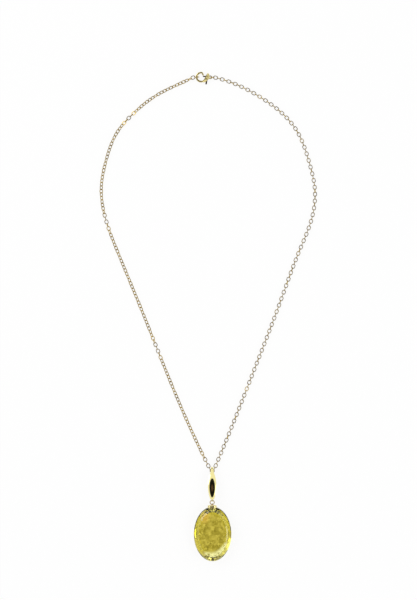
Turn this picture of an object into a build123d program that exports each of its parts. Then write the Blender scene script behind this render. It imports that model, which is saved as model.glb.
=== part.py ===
from build123d import *

import math
import os

# A pendant necklace, laid flat and closed, in millimetres.
# The surface it lies on is Z = 0, the clasp is towards +Y and the stone towards -Y.

# Chain links: flattened rings, each at a right angle to the next
link_width = 1.86
bar_width = 0.32
bar_thickness = 0.28
bar_chamfer = 0.06
link_play = 0.08
link_pitch = 1.66
link_length = link_pitch + link_play + 2 * bar_width
links_per_node = 12

# Along a strand, from a link's centre to the middle of its own end bar and of its neighbour's
own_bar = (link_length - bar_width) / 2
next_bar = link_pitch - own_bar

# Crown: the flat link that the bail hangs on, and the height of the chain's axis inside the bail
crown = Vector(2.0, -74.25, 1.85)

# Clasp: the centre of its tail eye, and the two rings that it joins
tail_eye = Vector(1.15, 114.9, 1.2)
clasp_ring_radius = 0.93
clasp_ring_wire = 0.17
end_ring_radius = 1.17
end_ring_wire = 0.18
end_ring_centre = Vector(-5.45, 115.05, 1.35)

# The strands' routes over the surface, from the crown to the clasp
left_route = [
    (-7.4, -56.2),
    (-20.5, -25.5),
    (-32.8, 5.2),
    (-43.9, 32.1),
    (-49.4, 47.4),
    (-51.3, 62.1),
    (-49.2, 74.3),
    (-42.9, 89.7),
    (-36.0, 97.4),
    (-26.8, 105.0),
    (-14.9, 111.3),
]
right_route = [
    (10.2, -56.2),
    (22.3, -25.5),
    (34.1, 5.2),
    (44.2, 32.1),
    (50.0, 47.4),
    (51.4, 60.9),
    (48.6, 74.3),
    (42.4, 89.7),
    (35.9, 97.4),
    (25.8, 105.0),
    (13.4, 111.6),
]
# Links from the crown at which a strand's next length starts to turn; the first two stay with the crown
length_starts = (2, 38, 78, 110)
# How far the strand takes to come down from the bail, and to rise to the clasp
bail_ramp = 9.0
clasp_ramp = 6.0
# The left strand lies on its links' corners, the right one on their edges
left_roll = 45.0
right_roll = 4.0
roll_ramp = 0.15
# Each link sways a little about the strand, in two waves along it
link_sway = 10.0
sway_waves = (1.7, 0.37)

# Bail: a loop of two leaves around the chain, flat behind and domed in front, on an eye at its foot
bail_bore = 1.45
bail_wall = 0.4
bail_reach = 13.9
bail_slot_end = 12.45
bail_slot_end_radius = 0.22
bail_top_half_width = 0.5
bail_neck = 1.1
bail_neck_half_width = 0.8
bail_half_width = 1.9
bail_widest = 5.6
bail_foot_half_width = 0.85
bail_bulge = 1.15
bail_dome_axis = -4.5

# Rings and eyes between the bail and the stone, by the distance from the chain's axis
bail_eye_reach = 14.3
bail_eye_radius = 0.62
bail_eye_bore = 0.3
bail_eye_thickness = 0.5
bail_eye_stem = 0.8
pendant_ring_radius = 1.0
pendant_ring_wire = 0.2

# Stone: an oval, resting on the flat facet under it
stone_width = 18.0
stone_length = 26.1
girdle_height = 4.8
girdle_thickness = 0.4
stone_from_peg_eye = 1.05
stone_right_of_crown = 0.2
# Facet rows, from the girdle out: facets, slope in degrees, length up the slope
crown_rows = [(56, 55.0, 0.75), (56, 45.0, 0.75), (28, 35.0, 0.85), (28, 24.0, 0.9)]
pavilion_rows = [(56, 62.0, 1.2), (56, 50.0, 1.3), (28, 40.0, 1.5), (28, 30.0, 1.7), (14, 20.0, 1.5)]
peg_radius = 0.3
peg_depth = 2.2
peg_eye_radius = 0.5
peg_eye_wire = 0.19
cap_width = 4.3
cap_thickness = 2.6
cap_height = 1.5
cap_fillet = 0.4
cap_clearance = 0.1

# Clasp, from its tail eye: +X towards the tail, the hook to the left, the nub below
clasp_thickness = 2.4
cheek_dome_radius = 4.5
cheek_dome_centre = -0.1
# The cheeks slope down to the tail from here, and down to the hook over their front edge
cheek_crest = -2.0
tail_slope = 12.5
front_slope = 40.0
front_slope_run = 0.5
hook_thickness = 1.3
hook_centre = (-4.5, 0.1)
hook_outer = 2.55
hook_inner_centre = (-4.4, 0.1)
hook_inner = 1.75
hook_fillet = 0.22
hook_mouth_corner = (-3.85, -1.5)
hook_lip = [(-3.85, 2.05), (-3.5, 1.1)]
lip_radius = 0.33
lug_radius = 0.85
lug_bore = 0.42
lug_thickness = 0.9
lug_root = ((-1.0, 0.0), 0.6)
cheek_corners = [((-1.0, 0.0), 0.75), ((-1.4, 1.05), 0.9), ((-3.1, -1.05), 1.35)]
cheek_front = [(-1.45, 2.05), (-2.75, -0.48), (-5.5, -0.48), (-5.5, 2.05)]
pivot = (-1.5, 0.4)
gate_end = (-3.38, 0.42)
gate_end_radius = 0.26
nub_end = (-2.05, -3.1)
nub_radius = 0.34
boss_radius = 0.6
lever_root_radius = 0.42
lever_bottom = -0.55
lever_thickness = 0.8
lever_travel = 22.0
pocket_thickness = 1.2
pocket_clearance = 0.08
rivet_radius = 0.28
rivet_clearance = 0.03
spring_radius = 0.42
spring_wire = 0.05
spring_pitch = 0.12
spring_turns = 2

os.makedirs("parts", exist_ok=True)


def write(name, shape):
    export_step(shape, f"parts/{name}.step")


def print_joint(name, place):
    print("joint", name, round(place.X, 4), round(place.Y, 4), round(place.Z, 4))


def disc(centre, radius):
    return Pos(*centre) * Circle(radius)


def hull(*discs):
    """The face inside a belt around discs, each (centre, radius), named counter-clockwise."""
    tangents = []
    for (start, start_radius), (end, end_radius) in zip(discs, discs[1:] + discs[:1]):
        run = math.dist(start, end)
        along = math.atan2(end[1] - start[1], end[0] - start[0])
        tangents.append(along - math.acos((start_radius - end_radius) / run))
    edges = []
    for number, (centre, radius) in enumerate(discs):
        arrives, leaves = tangents[number - 1], tangents[number]
        while leaves < arrives:
            leaves += 2 * math.pi
        ends = [rim(centre, radius, angle) for angle in (arrives, (arrives + leaves) / 2, leaves)]
        edges.append(ThreePointArc(*ends))
    return make_face(edges + [Line(a @ 1, b @ 0) for a, b in zip(edges, edges[1:] + edges[:1])])


def rim(centre, radius, angle):
    return centre[0] + radius * math.cos(angle), centre[1] + radius * math.sin(angle)


def turned(point, centre, degrees):
    """The point turned about the centre, in the plane."""
    angle = math.radians(degrees)
    x, y = point[0] - centre[0], point[1] - centre[1]
    return (
        centre[0] + x * math.cos(angle) - y * math.sin(angle),
        centre[1] + x * math.sin(angle) + y * math.cos(angle),
    )


def smooth(share):
    """Goes from 0 to 1 with no corner as share does, and stays there."""
    share = min(max(share, 0.0), 1.0)
    return share * share * (3 - 2 * share)


# ------------------------------------------------------------------ chain


def chain_link():
    """One link, flat in XY, its length along X."""
    outline = SlotOverall(link_length, link_width)
    eye = SlotOverall(link_length - 2 * bar_width, link_width - 2 * bar_width)
    link = extrude(outline - eye, bar_thickness / 2, both=True)
    rims = link.faces().filter_by(Axis.Z).edges()
    return chamfer(rims, bar_chamfer)


def lying_height(roll):
    """The height of a strand's axis at which no link's corner is under the surface, however it sways."""
    heights = []
    for share in (-1, -0.5, 0, 0.5, 1):
        angle = math.radians(roll + share * link_sway)
        for turn in (angle, angle + math.pi / 2):
            heights.append((link_width * abs(math.sin(turn)) + bar_thickness * abs(math.cos(turn))) / 2)
    return max(heights)


class Strand:
    """One side of the chain, from the crown link to the ring at its end."""

    def __init__(self, side, points, first, last, roll):
        self.side, self.roll, self.first, self.last = side, roll, first, last
        corners = [(first.X, first.Y), *points, (last.X, last.Y)]
        self.route = Spline(*corners)
        ends = own_bar + link_length / 2 - bar_width - link_play / 2 - end_ring_wire
        run = self.route.length - ends
        self.count = 2 * round((run / link_pitch + 1) / 2)
        self.pitch = run / (self.count - 1)
        self.starts = [*length_starts, self.count]

    def distance(self, number):
        return own_bar + number * self.pitch

    def freedom(self, number):
        """Nothing at the joints between lengths, where one link stands and the next is flat, and 1 between them."""
        if number < self.starts[0]:
            return 0.0
        low = max(start for start in self.starts[:-1] if start <= number)
        high = self.starts[self.starts.index(low) + 1]
        share = (number - low + 0.5) / (high - low)
        return smooth(min(share, 1 - share) / roll_ramp)

    def point(self, distance, roll=0.0):
        """A place on the strand's axis: lying on the surface, and lifted near the bail and the clasp."""
        flat = self.route.position_at(distance / self.route.length)
        low = lying_height(roll)
        up_to_bail = (self.first.Z - low) * (1 - smooth(distance / bail_ramp))
        up_to_clasp = (self.last.Z - low) * (1 - smooth((self.route.length - distance) / clasp_ramp))
        return Vector(flat.X, flat.Y, low + up_to_bail + up_to_clasp)

    def place(self, number):
        """Even links stand on edge and odd ones lie flat, each turned by the strand's roll."""
        at, free = self.distance(number), self.freedom(number)
        base = free * self.roll
        sway = free * link_sway * math.sin(sway_waves[0] * number) * math.cos(sway_waves[1] * number)
        near, far = self.point(at - own_bar / 2, base), self.point(at + own_bar / 2, base)
        along = (far - near).normalized()
        level = Vector(0, 0, 1).cross(along).normalized()
        up = along.cross(level)
        roll = math.radians(base + sway + (90 if number % 2 == 0 else 0))
        normal = up * math.cos(roll) + level * math.sin(roll)
        return Plane(self.point(at, base), x_dir=along, z_dir=normal).location

    def joint(self, number):
        """The axis on which an upright link turns: its end bar, inside the flat link before it."""
        return self.point(self.distance(number) - own_bar)


def write_lengths(link, strand):
    """The strand's links in nodes of a few each, with the length of the strand that they move with."""
    number = 1
    for length, (low, high) in enumerate(zip(strand.starts, strand.starts[1:]), 1):
        nodes = math.ceil((high - low) / links_per_node)
        bounds = [round(low + (high - low) * share / nodes) for share in range(nodes + 1)]
        for start, stop in zip(bounds, bounds[1:]):
            name = f"{strand.side}_links_{number:02d}"
            write(name, Compound([link.moved(strand.place(each)) for each in range(start, stop)]))
            print("node", f"{strand.side}_{length}", name)
            number += 1
        print_joint(f"{strand.side}_{length}", strand.joint(low))


# ------------------------------------------------------------------ pendant

# The bail and its ring lie along a line from the chain's axis up to the stone's girdle
peg_reach = bail_eye_reach + 2 * pendant_ring_radius
slope = math.degrees(math.asin((girdle_height - crown.Z) / peg_reach))
hanging = Pos(crown) * Rot(-slope, 0, 0)
bail_eye_centre = (hanging * Pos(0, -bail_eye_reach, 0)).position
ring_place = hanging * Pos(0, -bail_eye_reach - pendant_ring_radius, 0)
peg_eye_centre = (hanging * Pos(0, -peg_reach, 0)).position
stone_top = peg_eye_centre.Y - stone_from_peg_eye
stone_centre = Vector(crown.X + stone_right_of_crown, stone_top - stone_length / 2, girdle_height)


def bail_side():
    """The bail's outline from the side: Y along it from the chain's axis, and Z as the sketch's Y."""
    outer = bail_bore + bail_wall
    foot = bail_eye_radius
    top = (0.0, outer)
    middle = (-bail_widest, (outer + foot) / 2 + bail_bulge)
    back = Polyline((-bail_reach, foot), (-bail_reach, -foot), (0, -outer))
    front = ThreePointArc(top, middle, (-bail_reach, foot))
    head = ThreePointArc((0, -outer), (outer, 0), top)
    return make_face([back, front, head])


def bail_shell():
    outer = bail_bore + bail_wall
    slot = hull(((0, 0), bail_bore), ((-bail_slot_end, 0), bail_slot_end_radius))
    flank = extrude(Plane.YZ * (bail_side() - slot), 2 * bail_half_width, both=True)
    right_edge = ThreePointArc(
        (bail_neck_half_width, -bail_neck), (bail_half_width, -bail_widest), (bail_foot_half_width, -bail_reach)
    )
    left_edge = mirror(right_edge, Plane.YZ)
    past = Vector(0, bail_wall, 0)
    right_top = Vector(bail_top_half_width, outer, 0) + past
    left_top = Vector(-bail_top_half_width, outer, 0) + past
    ends = [
        Polyline(left_edge @ 0, left_top, right_top, right_edge @ 0),
        Polyline(left_edge @ 1, left_edge @ 1 - past, right_edge @ 1 - past, right_edge @ 1),
    ]
    plan = extrude(make_face([right_edge, left_edge, *ends]), 2 * outer, both=True)
    above = Pos(-bail_reach / 2, outer) * Rectangle(2 * bail_reach, 2 * outer)
    below = Pos((outer - bail_reach) / 2, bail_dome_axis / 2) * Rectangle(bail_reach + outer, -bail_dome_axis)
    crest = Plane.YZ * ((bail_side() & above) + below)
    dome = revolve(crest, Axis((0, 0, bail_dome_axis), (0, 1, 0)), 360)
    return flank & plan & dome


def bail_eye():
    """An upright loop, with the short stem that solders it to the bail's foot."""
    centre = (-bail_eye_reach, 0)
    stem_middle = -(bail_reach + bail_eye_reach) / 2
    stem = Pos(stem_middle, 0) * Rectangle(bail_eye_reach - bail_reach, bail_eye_stem)
    outline = disc(centre, bail_eye_radius) + stem - disc(centre, bail_eye_bore)
    shell_foot = Pos(-bail_reach + bail_eye_radius, 0) * Rectangle(2 * bail_eye_radius, 2 * bail_eye_radius)
    return extrude(Plane.YZ * (outline - shell_foot), bail_eye_thickness / 2, both=True)


def oval_reach(azimuth):
    """How far from its centre the oval's tangent with this outward direction lies."""
    return math.hypot(stone_width / 2 * math.cos(azimuth), stone_length / 2 * math.sin(azimuth))


def facet(azimuth, slope_degrees, inset, height, side):
    """The plane of one facet above (side 1) or below (side -1) the girdle, facing out of the stone."""
    lean = math.radians(slope_degrees)
    reach = oval_reach(azimuth) - inset
    rise = side * (girdle_thickness / 2 + height)
    foot = Vector(reach * math.cos(azimuth), reach * math.sin(azimuth), rise)
    out = Vector(
        math.sin(lean) * math.cos(azimuth), math.sin(lean) * math.sin(azimuth), side * math.cos(lean)
    )
    return Plane(foot, z_dir=out)


def undrilled_stone():
    """The oval, cut facet by facet, in place."""
    oval = Ellipse(stone_width / 2, stone_length / 2)
    table_height = sum(length * math.sin(math.radians(lean)) for _, lean, length in crown_rows)
    blank = extrude(oval, girdle_thickness / 2 + table_height) + extrude(oval, -girdle_height)
    for side, rows in ((1, crown_rows), (-1, pavilion_rows)):
        inset = height = 0.0
        for row, (count, lean, length) in enumerate(rows):
            for step in range(count):
                azimuth = 2 * math.pi * (step + 0.5 * (row % 2)) / count
                cut = facet(azimuth, lean, inset, height, side)
                blank = split(blank, bisect_by=cut, keep=Keep.BOTTOM)
            inset += length * math.cos(math.radians(lean))
            height += length * math.sin(math.radians(lean))
    return Pos(stone_centre) * blank


def peg():
    """The eye on top of the stone, upright, with its post down into the stone."""
    eye = Pos(peg_eye_centre) * Rot(0, 90, 0) * Torus(peg_eye_radius, peg_eye_wire)
    top, foot = peg_eye_centre.Y - peg_eye_radius, stone_top - peg_depth
    place = Pos(peg_eye_centre.X, (top + foot) / 2, peg_eye_centre.Z) * Rot(90, 0, 0)
    return eye + place * Cylinder(peg_radius, top - foot)


def stone_cap(stone, post):
    """A stadium-shaped cap seated on the stone, its top just clear of the pendant ring."""
    top = peg_eye_centre.Y - pendant_ring_wire - cap_clearance
    seat = Plane((crown.X, top, girdle_height), x_dir=(1, 0, 0), z_dir=(0, -1, 0))
    block = extrude(seat * SlotOverall(cap_width, cap_thickness), cap_height)
    block = fillet(block.faces().sort_by(Axis.Y)[-1].edges(), cap_fillet)
    return block - stone - post


# ------------------------------------------------------------------ clasp

at_clasp = Pos(tail_eye)
upright = Rot(90, 0, 0)


def lever_pocket():
    """The slot between the cheeks, with room for the lever from shut to open."""
    room = pocket_clearance
    seat = (pivot, boss_radius + room)
    nubs = [(turned(nub_end, pivot, turn), nub_radius + room) for turn in (0, lever_travel)]
    gates = [(turned(gate_end, pivot, turn), gate_end_radius + 2 * room) for turn in (0, lever_travel)]
    plan = hull(seat, *nubs) + hull(seat, *gates)
    return extrude(plan, pocket_thickness / 2, both=True)


def rounded(plan, radius):
    """The plan as thick as the hook, with its rims rounded."""
    solid = extrude(plan, hook_thickness / 2, both=True)
    return fillet(solid.faces().filter_by(Axis.Z).edges(), radius)


def hook():
    """The curved arm and its lip, which the gate closes."""
    band = rounded(disc(hook_centre, hook_outer) - disc(hook_inner_centre, hook_inner), hook_fillet)
    mouth = Pos(*hook_mouth_corner) * Box(
        2 * hook_outer, 2 * hook_outer, hook_thickness, align=(Align.MIN, Align.MIN, Align.CENTER)
    )
    lip = rounded(hull(*((point, lip_radius) for point in hook_lip)), hook_fillet)
    return band - mouth + lip


def cheeks():
    """The clasp's domed body, highest near its front edge."""
    front = make_face(Polyline(*cheek_front, close=True))
    plan = hull(*cheek_corners) - front - disc(hook_inner_centre, hook_inner)
    block = extrude(plan, clasp_thickness / 2, both=True)
    upper, lower = Vector(*cheek_front[0]), Vector(*cheek_front[1])
    out = (upper - lower).cross(Vector(0, 0, -1)).normalized()
    lean, fall = math.radians(front_slope), math.radians(tail_slope)
    for side in (1, -1):
        top = Vector(0, 0, side * clasp_thickness / 2)
        to_hook = out * math.sin(lean) + Vector(0, 0, side * math.cos(lean))
        to_tail = Vector(math.sin(fall), 0, side * math.cos(fall))
        block = split(block, Plane(upper - out * front_slope_run + top, z_dir=to_hook), Keep.BOTTOM)
        block = split(block, Plane(Vector(cheek_crest, 0, 0) + top, z_dir=to_tail), Keep.BOTTOM)
        axis_height = side * (clasp_thickness / 2 - cheek_dome_radius)
        dome = Pos(0, cheek_dome_centre, axis_height) * Rot(0, 90, 0) * Cylinder(cheek_dome_radius, 4 * cheek_dome_radius)
        block &= dome
    return block


def clasp_body():
    """The hook, the two cheeks with the lever's pocket between them, and the tail lug."""
    block = cheeks()
    lug = hull(((0, 0), lug_radius), lug_root)
    body = block + extrude(lug, lug_thickness / 2, both=True) + hook()
    body -= lever_pocket()
    body -= Cylinder(lug_bore, clasp_thickness)
    body -= Pos(*pivot) * Cylinder(rivet_radius, 2 * clasp_thickness)
    return body


def clasp_lever():
    boss = disc(pivot, boss_radius)
    gate = hull((pivot, lever_root_radius), (gate_end, gate_end_radius))
    leg = hull((pivot, lever_root_radius), (nub_end, nub_radius))
    plan = boss + gate + leg - disc(pivot, rivet_radius + rivet_clearance)
    return Pos(0, 0, lever_bottom) * extrude(plan, lever_thickness)


def clasp_spring():
    """The coil that shuts the gate, around the rivet on top of the lever."""
    coil = Helix(spring_pitch, spring_pitch * spring_turns, spring_radius)
    section = Plane(coil @ 0, z_dir=coil % 0) * Circle(spring_wire)
    foot = lever_bottom + lever_thickness + 2 * spring_wire
    return Pos(*pivot, foot) * sweep(section, path=coil, is_frenet=True)


# ------------------------------------------------------------------ the whole necklace

link = chain_link()
left_end = end_ring_centre - Vector(end_ring_radius, 0, 0)
right_end = tail_eye + Vector(2 * clasp_ring_radius, 0, 0)
step_aside = Vector(next_bar, 0, 0)
left = Strand("left", left_route, crown - step_aside, left_end, left_roll)
right = Strand("right", right_route, crown + step_aside, right_end, right_roll)

crown_links = [link.moved(Pos(crown))]
for strand in (left, right):
    crown_links += [link.moved(strand.place(number)) for number in range(length_starts[0])]
    write_lengths(link, strand)
write("crown_links", Compound(crown_links))

write("bail_shell", hanging * bail_shell())
write("bail_eye", hanging * bail_eye())
write("pendant_ring", ring_place * Torus(pendant_ring_radius, pendant_ring_wire))
stone, post = undrilled_stone(), peg()
write("gemstone", stone - post)
write("stone_peg", post)
write("stone_cap", stone_cap(stone, post))

write("end_ring", Pos(end_ring_centre) * upright * Torus(end_ring_radius, end_ring_wire))
clasp_ring_centre = tail_eye + Vector(clasp_ring_radius, 0, 0)
write("clasp_ring", Pos(clasp_ring_centre) * upright * Torus(clasp_ring_radius, clasp_ring_wire))
write("clasp_body", at_clasp * clasp_body())
write("clasp_lever", at_clasp * clasp_lever())
write("clasp_rivet", at_clasp * Pos(*pivot) * Cylinder(rivet_radius, clasp_thickness))
write("clasp_spring", at_clasp * clasp_spring())

print_joint("bail", crown)
print_joint("pendant_ring", bail_eye_centre)
print_joint("pendant", ring_place.position)
print_joint("end_ring", left_end)
print_joint("clasp_ring", right_end)
print_joint("clasp", tail_eye)
print_joint("lever", (at_clasp * Pos(*pivot)).position)
print("bail slope", round(slope, 4), "links", left.count, right.count)
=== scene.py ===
import bpy
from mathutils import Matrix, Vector

# Necklace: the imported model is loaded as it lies, in metres, and every piece below keeps its place.
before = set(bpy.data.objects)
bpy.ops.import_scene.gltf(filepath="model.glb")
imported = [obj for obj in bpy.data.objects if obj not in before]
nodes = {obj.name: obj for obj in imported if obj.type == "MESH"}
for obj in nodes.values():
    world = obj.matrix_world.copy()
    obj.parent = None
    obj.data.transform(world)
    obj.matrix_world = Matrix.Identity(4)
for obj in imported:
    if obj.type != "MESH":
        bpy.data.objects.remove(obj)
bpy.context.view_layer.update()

# Chain: flattened cable links of yellow gold, each bent from wire and soldered shut.
# Tumbling polishes them, so their edges are soft and bright. Both tones are painted darker than the gold's own
# colour, as painted shade for the dark reflections in the links, and some links are painted darker than others.
chain_pale = (0.68, 0.49, 0.11, 1)
chain_painted_shade = (0.26, 0.175, 0.03, 1)
link_edge = 0.00005


def join(tree, out_socket, in_socket):
    tree.links.new(out_socket, in_socket)


def polish_group():
    """Polished precious metal: tone that drifts, hairline scratches and brighter, rounder edges."""
    tree = bpy.data.node_groups.new("polished_metal", "ShaderNodeTree")
    sockets = [
        ("Pale Tone", "NodeSocketColor", (1, 1, 1, 1)),
        ("Deep Tone", "NodeSocketColor", (0.5, 0.5, 0.5, 1)),
        ("Piece Variety", "NodeSocketFloat", 0.3),
        ("Scratch Density", "NodeSocketFloat", 900.0),
        ("Scratch Depth", "NodeSocketFloat", 0.1),
        ("Edge Radius", "NodeSocketFloat", 0.00005),
        ("Smoothest", "NodeSocketFloat", 0.06),
        ("Roughest", "NodeSocketFloat", 0.2),
    ]
    for name, kind, value in sockets:
        socket = tree.interface.new_socket(name=name, in_out="INPUT", socket_type=kind)
        socket.default_value = value
    tree.interface.new_socket(name="Color", in_out="OUTPUT", socket_type="NodeSocketColor")
    tree.interface.new_socket(name="Roughness", in_out="OUTPUT", socket_type="NodeSocketFloat")
    tree.interface.new_socket(name="Normal", in_out="OUTPUT", socket_type="NodeSocketVector")
    given = tree.nodes.new("NodeGroupInput")
    result = tree.nodes.new("NodeGroupOutput")
    place = tree.nodes.new("ShaderNodeTexCoord")
    surface = tree.nodes.new("ShaderNodeNewGeometry")

    drift_scale, drift_share = 260.0, 0.45
    drift = tree.nodes.new("ShaderNodeTexNoise")
    drift.inputs["Scale"].default_value = drift_scale
    drift.inputs["Detail"].default_value = 3.0
    join(tree, place.outputs["Object"], drift.inputs["Vector"])
    piece = tree.nodes.new("ShaderNodeMath")
    piece.operation = "MULTIPLY"
    join(tree, surface.outputs["Random Per Island"], piece.inputs[0])
    join(tree, given.outputs["Piece Variety"], piece.inputs[1])
    depth = tree.nodes.new("ShaderNodeMath")
    depth.operation = "MULTIPLY_ADD"
    depth.use_clamp = True
    depth.inputs[1].default_value = drift_share
    join(tree, drift.outputs["Fac"], depth.inputs[0])
    join(tree, piece.outputs[0], depth.inputs[2])
    tone = tree.nodes.new("ShaderNodeMix")
    tone.data_type = "RGBA"
    join(tree, depth.outputs[0], tone.inputs["Factor"])
    join(tree, given.outputs["Pale Tone"], tone.inputs[6])
    join(tree, given.outputs["Deep Tone"], tone.inputs[7])

    scratch_lays = ((0.5, 14.0), (2.1, 18.0))
    scratch_height = None
    for turn, stretch in scratch_lays:
        lay = tree.nodes.new("ShaderNodeMapping")
        lay.inputs["Rotation"].default_value = (0.0, 0.0, turn)
        lay.inputs["Scale"].default_value = (1.0, stretch, 1.0)
        join(tree, place.outputs["Object"], lay.inputs["Vector"])
        hair = tree.nodes.new("ShaderNodeTexNoise")
        hair.inputs["Detail"].default_value = 1.0
        join(tree, given.outputs["Scratch Density"], hair.inputs["Scale"])
        join(tree, lay.outputs["Vector"], hair.inputs["Vector"])
        if scratch_height is None:
            scratch_height = hair.outputs["Fac"]
        else:
            both = tree.nodes.new("ShaderNodeMath")
            both.operation = "MAXIMUM"
            join(tree, scratch_height, both.inputs[0])
            join(tree, hair.outputs["Fac"], both.inputs[1])
            scratch_height = both.outputs[0]

    soft = tree.nodes.new("ShaderNodeBevel")
    soft.samples = 4
    join(tree, given.outputs["Edge Radius"], soft.inputs["Radius"])
    bump = tree.nodes.new("ShaderNodeBump")
    deepest_scratch = 0.00001
    bump.inputs["Distance"].default_value = deepest_scratch
    join(tree, given.outputs["Scratch Depth"], bump.inputs["Strength"])
    join(tree, scratch_height, bump.inputs["Height"])
    join(tree, soft.outputs["Normal"], bump.inputs["Normal"])
    flatness = tree.nodes.new("ShaderNodeVectorMath")
    flatness.operation = "DOT_PRODUCT"
    join(tree, soft.outputs["Normal"], flatness.inputs[0])
    join(tree, surface.outputs["True Normal"], flatness.inputs[1])
    edge_starts, edge_full, edge_brightening = 0.99, 0.85, 0.6
    edge = tree.nodes.new("ShaderNodeMapRange")
    edge.inputs["From Min"].default_value = edge_starts
    edge.inputs["From Max"].default_value = edge_full
    edge.inputs["To Max"].default_value = edge_brightening
    join(tree, flatness.outputs["Value"], edge.inputs["Value"])
    bright = tree.nodes.new("ShaderNodeMix")
    bright.data_type = "RGBA"
    join(tree, edge.outputs["Result"], bright.inputs["Factor"])
    join(tree, tone.outputs[2], bright.inputs[6])
    join(tree, given.outputs["Pale Tone"], bright.inputs[7])

    between_scratches, on_scratches = 0.35, 0.7
    rough = tree.nodes.new("ShaderNodeMapRange")
    rough.inputs["From Min"].default_value = between_scratches
    rough.inputs["From Max"].default_value = on_scratches
    join(tree, scratch_height, rough.inputs["Value"])
    join(tree, given.outputs["Smoothest"], rough.inputs["To Min"])
    join(tree, given.outputs["Roughest"], rough.inputs["To Max"])
    join(tree, bright.outputs[2], result.inputs["Color"])
    join(tree, rough.outputs["Result"], result.inputs["Roughness"])
    join(tree, bump.outputs["Normal"], result.inputs["Normal"])
    return tree


polished_metal = polish_group()


def metal(name, pale, deep, **finish):
    """A metal whose tone, polish and edges come from the polished_metal group."""
    material = bpy.data.materials.new(name)
    material.use_nodes = True
    tree = material.node_tree
    shader = tree.nodes["Principled BSDF"]
    shader.inputs["Metallic"].default_value = 1.0
    polish = tree.nodes.new("ShaderNodeGroup")
    polish.node_tree = polished_metal
    polish.inputs["Pale Tone"].default_value = pale
    polish.inputs["Deep Tone"].default_value = deep
    for socket, value in finish.items():
        polish.inputs[socket.replace("_", " ")].default_value = value
    join(tree, polish.outputs["Color"], shader.inputs["Base Color"])
    join(tree, polish.outputs["Roughness"], shader.inputs["Roughness"])
    join(tree, polish.outputs["Normal"], shader.inputs["Normal"])
    return material


def dress(name, material):
    """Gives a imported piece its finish."""
    piece = nodes[name]
    piece.data.materials.clear()
    piece.data.materials.append(material)


# The chain's gold carries painted shade: its dark tones and darker links stand in for dark reflections.
chain_gold = metal(
    "chain_gold", chain_pale, chain_painted_shade, Piece_Variety=0.7, Edge_Radius=link_edge, Smoothest=0.08, Roughest=0.2
)
for name in nodes:
    if name.endswith("_links") or "_links_" in name:
        dress(name, chain_gold)

# Bail: a marquise leaf of sheet gold folded round the chain and closed on an eye, mirror polished.
# Its domed front picks up only the finest wiping marks.
bail_gold = metal(
    "bail_gold", (0.93, 0.84, 0.40, 1), (0.80, 0.68, 0.24, 1),
    Piece_Variety=0.0, Scratch_Density=700.0, Scratch_Depth=0.04, Edge_Radius=0.00008, Smoothest=0.02, Roughest=0.07,
)
dress("bail_shell", bail_gold)
dress("bail_eye", bail_gold)

# Jump rings: round gold wire wound on a mandrel, sawn into rings and soldered.
# Their gold is painted far darker than its own colour, as painted shade for the dark outlines the rings show.
ring_gold_painted_shade = metal(
    "ring_gold_painted_shade", (0.46, 0.31, 0.07, 1), (0.18, 0.11, 0.018, 1),
    Piece_Variety=0.2, Scratch_Depth=0.1, Edge_Radius=0.00002, Smoothest=0.05, Roughest=0.16,
)
for name in ("pendant_ring", "end_ring", "clasp_ring", "stone_peg"):
    dress(name, ring_gold_painted_shade)

# Stone: a large oval of olive quartz, cut with rows of facets round a broad table.
# It is drilled from the top for the peg. Its colour is cloudy, with an orange-gold patch near the drilled end. A
# pale crescent at the foot is a painted reflection, with painted dark facet edges in it.
olive_shade = (0.33, 0.265, 0.022, 1)
olive_light = (0.57, 0.47, 0.065, 1)
painted_glint_yellow = (0.80, 0.68, 0.11, 1)
fleck_brown = (0.17, 0.14, 0.010, 1)
rim_painted_light = (0.66, 0.56, 0.028, 1)
amber_tone = (0.74, 0.46, 0.07, 1)
crescent_painted_reflection = (0.97, 0.95, 0.42, 1)
tick_painted_shade = (0.30, 0.25, 0.012, 1)
cloud_scale, glint_scale = 420.0, 1150.0
stone_middle = (0.0, 0.0, 0.0)
amber_middle = (-0.42, 0.66, 0.0)
crescent_middle = (-0.06, 0.12, 0.0)
foot_direction = (0.30, -0.95, 0.0)

stone_quartz = bpy.data.materials.new("stone_quartz")
stone_quartz.use_nodes = True
tree = stone_quartz.node_tree
shader = tree.nodes["Principled BSDF"]
shader.inputs["Transmission Weight"].default_value = 1.0
shader.inputs["Roughness"].default_value = 0.0
shader.inputs["IOR"].default_value = 1.54
inside = tree.nodes.new("ShaderNodeTexCoord")
across = tree.nodes.new("ShaderNodeMapping")
across.inputs["Scale"].default_value = (2.0, 2.0, 0.0)
across.inputs["Location"].default_value = (-1.0, -1.0, 0.0)
join(tree, inside.outputs["Generated"], across.inputs["Vector"])


def stone_range(source, low, high, start=0.0, end=1.0):
    """A value taken from one range to another, with soft ends."""
    spread = tree.nodes.new("ShaderNodeMapRange")
    spread.interpolation_type = "SMOOTHSTEP"
    spread.inputs["From Min"].default_value = low
    spread.inputs["From Max"].default_value = high
    spread.inputs["To Min"].default_value = start
    spread.inputs["To Max"].default_value = end
    join(tree, source, spread.inputs["Value"])
    return spread.outputs["Result"]


def stone_product(first, second):
    both = tree.nodes.new("ShaderNodeMath")
    both.operation = "MULTIPLY"
    join(tree, first, both.inputs[0])
    join(tree, second, both.inputs[1])
    return both.outputs[0]


def stone_blend(share, under, over):
    """Two colours mixed by a mask, where the one under may come from another node."""
    blend = tree.nodes.new("ShaderNodeMix")
    blend.data_type = "RGBA"
    join(tree, share, blend.inputs["Factor"])
    if isinstance(under, tuple):
        blend.inputs[6].default_value = under
    else:
        join(tree, under, blend.inputs[6])
    blend.inputs[7].default_value = over
    return blend.outputs[2]


def stone_distance(middle):
    """How far a place in the oval is from a middle, where 1 is the oval's half size."""
    away = tree.nodes.new("ShaderNodeVectorMath")
    away.operation = "DISTANCE"
    join(tree, across.outputs["Vector"], away.inputs[0])
    away.inputs[1].default_value = middle
    return away.outputs["Value"]


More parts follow.
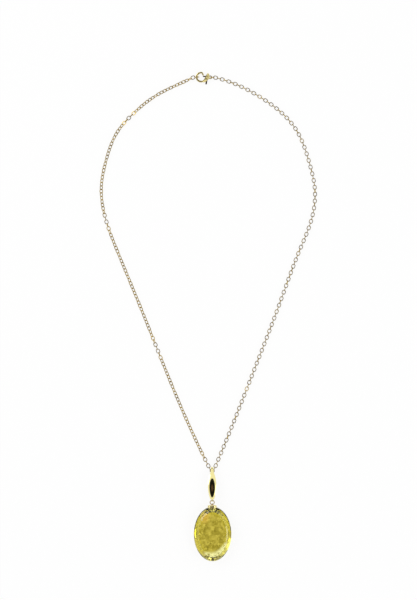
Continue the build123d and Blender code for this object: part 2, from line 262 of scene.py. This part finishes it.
clouds = tree.nodes.new("ShaderNodeTexNoise")
clouds.inputs["Scale"].default_value = cloud_scale
clouds.inputs["Detail"].default_value = 3.0
join(tree, inside.outputs["Object"], clouds.inputs["Vector"])
glints = tree.nodes.new("ShaderNodeTexVoronoi")
glints.inputs["Scale"].default_value = glint_scale
join(tree, inside.outputs["Object"], glints.inputs["Vector"])
glint_tone = tree.nodes.new("ShaderNodeSeparateColor")
join(tree, glints.outputs["Color"], glint_tone.inputs["Color"])
body = stone_blend(stone_range(clouds.outputs["Fac"], 0.38, 0.62), olive_shade, olive_light)
# Painted glints: small bright yellow flecks stand in for light off the facets.
body = stone_blend(stone_range(glint_tone.outputs["Red"], 0.70, 0.92, end=0.75), body, painted_glint_yellow)
body = stone_blend(stone_range(glint_tone.outputs["Green"], 0.80, 0.95, end=0.5), body, fleck_brown)
# Painted light: the stone turns a paler yellow towards its rim, for the light its rim facets pass and reflect.
body = stone_blend(stone_range(stone_distance(stone_middle), 0.62, 0.88, end=0.7), body, rim_painted_light)
body = stone_blend(stone_range(stone_distance(amber_middle), 0.38, 0.05, end=0.75), body, amber_tone)
toward_foot = tree.nodes.new("ShaderNodeVectorMath")
toward_foot.operation = "DOT_PRODUCT"
join(tree, across.outputs["Vector"], toward_foot.inputs[0])
toward_foot.inputs[1].default_value = foot_direction
# Painted reflection: a pale crescent at the foot, where light reflects inside the stone off its facets.
crescent = stone_product(
    stone_range(toward_foot.outputs["Value"], 0.44, 0.62),
    stone_range(stone_distance(crescent_middle), 0.74, 0.88),
)
body = stone_blend(crescent, body, crescent_painted_reflection)
# Painted shade: dark ticks in the crescent stand in for the facet edges seen in that reflection.
painted_shade_ticks = stone_product(crescent, stone_range(glint_tone.outputs["Blue"], 0.72, 0.90, end=0.7))
body = stone_blend(painted_shade_ticks, body, tick_painted_shade)
join(tree, body, shader.inputs["Base Color"])
dress("gemstone", stone_quartz)

# Cap: a small pressed gold cup that hides the drilled hole, with the peg's eye standing on it.
cap_gold = metal(
    "cap_gold", (0.92, 0.82, 0.40, 1), (0.78, 0.62, 0.24, 1),
    Piece_Variety=0.0, Scratch_Depth=0.08, Edge_Radius=0.00006, Smoothest=0.22, Roughest=0.36,
)
dress("stone_cap", cap_gold)

# Clasp: a cast lobster claw, tumbled bright, with a sprung lever on a rivet between its cheeks.
# The lever is stamped, and dressed in the jump rings' darker gold as painted shade for the dark shadow gap between
# the hook and the cheeks; a steel spring closes it.
# The clasp's deep tone is painted darker than the gold's own colour, as painted shade for its dark outlines.
clasp_gold = metal(
    "clasp_gold", (0.88, 0.77, 0.36, 1), (0.48, 0.34, 0.09, 1),
    Piece_Variety=0.1, Scratch_Depth=0.12, Edge_Radius=0.00012, Smoothest=0.16, Roughest=0.3,
)
for name in ("clasp_body", "clasp_rivet"):
    dress(name, clasp_gold)
dress("clasp_lever", ring_gold_painted_shade)
spring_steel = metal(
    "spring_steel", (0.66, 0.66, 0.64, 1), (0.42, 0.42, 0.41, 1),
    Piece_Variety=0.0, Scratch_Depth=0.1, Edge_Radius=0.00001, Smoothest=0.2, Roughest=0.35,
)
dress("clasp_spring", spring_steel)

# Table: the pale board that the necklace lies on, a hair below it so that no two faces share a plane.
# It keeps a faint shadow, and shows white in metal and stone.
board_size, board_drop, glow_to_camera = 3.0, 0.00002, 0.9
bpy.ops.mesh.primitive_plane_add(size=board_size, location=(0.0, 0.0, -board_drop))
table = bpy.context.object
table.name = "table_top"
board = bpy.data.materials.new("pale_board")
board.use_nodes = True
tree = board.node_tree
shader = tree.nodes["Principled BSDF"]
shader.inputs["Roughness"].default_value = 0.9
shader.inputs["Specular IOR Level"].default_value = 0.0
fibre = tree.nodes.new("ShaderNodeTexNoise")
fibre.inputs["Scale"].default_value = 900.0
fibre_tone = tree.nodes.new("ShaderNodeMapRange")
fibre_tone.inputs["To Min"].default_value = 0.90
fibre_tone.inputs["To Max"].default_value = 0.94
join(tree, fibre.outputs["Fac"], fibre_tone.inputs["Value"])
join(tree, fibre_tone.outputs["Result"], shader.inputs["Base Color"])
glow = tree.nodes.new("ShaderNodeEmission")
path = tree.nodes.new("ShaderNodeLightPath")
seen = tree.nodes.new("ShaderNodeMath")
seen.operation = "MULTIPLY"
seen.inputs[1].default_value = glow_to_camera
join(tree, path.outputs["Is Camera Ray"], seen.inputs[0])
seen_in_metal = tree.nodes.new("ShaderNodeMath")
seen_in_metal.operation = "MAXIMUM"
join(tree, path.outputs["Is Glossy Ray"], seen_in_metal.inputs[0])
join(tree, path.outputs["Is Transmission Ray"], seen_in_metal.inputs[1])
share = tree.nodes.new("ShaderNodeMath")
share.operation = "MAXIMUM"
join(tree, seen.outputs[0], share.inputs[0])
join(tree, seen_in_metal.outputs[0], share.inputs[1])
mixed = tree.nodes.new("ShaderNodeMixShader")
join(tree, share.outputs[0], mixed.inputs["Fac"])
join(tree, shader.outputs["BSDF"], mixed.inputs[1])
join(tree, glow.outputs["Emission"], mixed.inputs[2])
join(tree, mixed.outputs["Shader"], tree.nodes["Material Output"].inputs["Surface"])
table.data.materials.append(board)

# Room: a white tent over a white backdrop, open to a dark room at its foot, with a dark hole overhead for the lens.
# The tent's brightness is listed by the sine of the height, and it bounces more light into the stone.
tent_foot, lens_glass = (0.10, 0.09, 0.08, 1), (0.10, 0.06, 0.045, 1)
tent_heights = ((0.15, 0.12), (0.45, 1.0), (0.915, 1.0), (0.928, 0.02), (0.985, 0.008))
bounced_into_stone = (0.55, 0.55, 0.52, 1)
world = bpy.data.worlds.new("tent")
bpy.context.scene.world = world
world.use_nodes = True
tree = world.node_tree
sky = tree.nodes["Background"]
toward = tree.nodes.new("ShaderNodeTexCoord")
split = tree.nodes.new("ShaderNodeSeparateXYZ")
join(tree, toward.outputs["Generated"], split.inputs["Vector"])
height = tree.nodes.new("ShaderNodeValToRGB")
ramp = height.color_ramp
ramp.elements[0].position, ramp.elements[0].color = 0.0, tent_foot
ramp.elements[1].position, ramp.elements[1].color = 1.0, lens_glass
for sine, shade in tent_heights:
    ramp.elements.new(sine).color = (shade, shade, shade, 1)
join(tree, split.outputs["Z"], height.inputs["Fac"])
way = tree.nodes.new("ShaderNodeLightPath")
through_stone = tree.nodes.new("ShaderNodeMix")
through_stone.data_type = "RGBA"
through_stone.blend_type = "LIGHTEN"
through_stone.inputs[7].default_value = bounced_into_stone
join(tree, way.outputs["Is Transmission Ray"], through_stone.inputs["Factor"])
join(tree, height.outputs["Color"], through_stone.inputs[6])
backdrop = tree.nodes.new("ShaderNodeMix")
backdrop.data_type = "RGBA"
backdrop.inputs[7].default_value = (1, 1, 1, 1)
join(tree, way.outputs["Is Camera Ray"], backdrop.inputs["Factor"])
join(tree, through_stone.outputs[2], backdrop.inputs[6])
join(tree, backdrop.outputs[2], sky.inputs["Color"])
sky.inputs["Strength"].default_value = 1.0


def softbox(name, place, size, power):
    lamp = bpy.data.lights.new(name, "AREA")
    lamp.shape, lamp.size, lamp.energy = "SQUARE", size, power
    holder = bpy.data.objects.new(name, lamp)
    holder.location = place
    holder.rotation_euler = (-Vector(place)).to_track_quat("-Z", "Y").to_euler()
    bpy.context.scene.collection.objects.link(holder)


softbox("softbox_left", (-0.55, 0.35, 0.75), 0.5, 2.2)
softbox("softbox_right", (0.6, -0.2, 0.7), 0.4, 1.2)

# Camera: straight above the table.
view_centre = Vector((0.00024, 0.00785, 0.0))
camera_height = 1.604
camera = bpy.data.cameras.new("camera")
camera.lens, camera.sensor_width = 200.0, 36.0
camera.clip_start = 0.01
tripod = bpy.data.objects.new("camera", camera)
tripod.location = view_centre + Vector((0.0, 0.0, camera_height))
bpy.context.scene.collection.objects.link(tripod)
bpy.context.scene.camera = tripod
bpy.context.scene.view_settings.view_transform = "Standard"
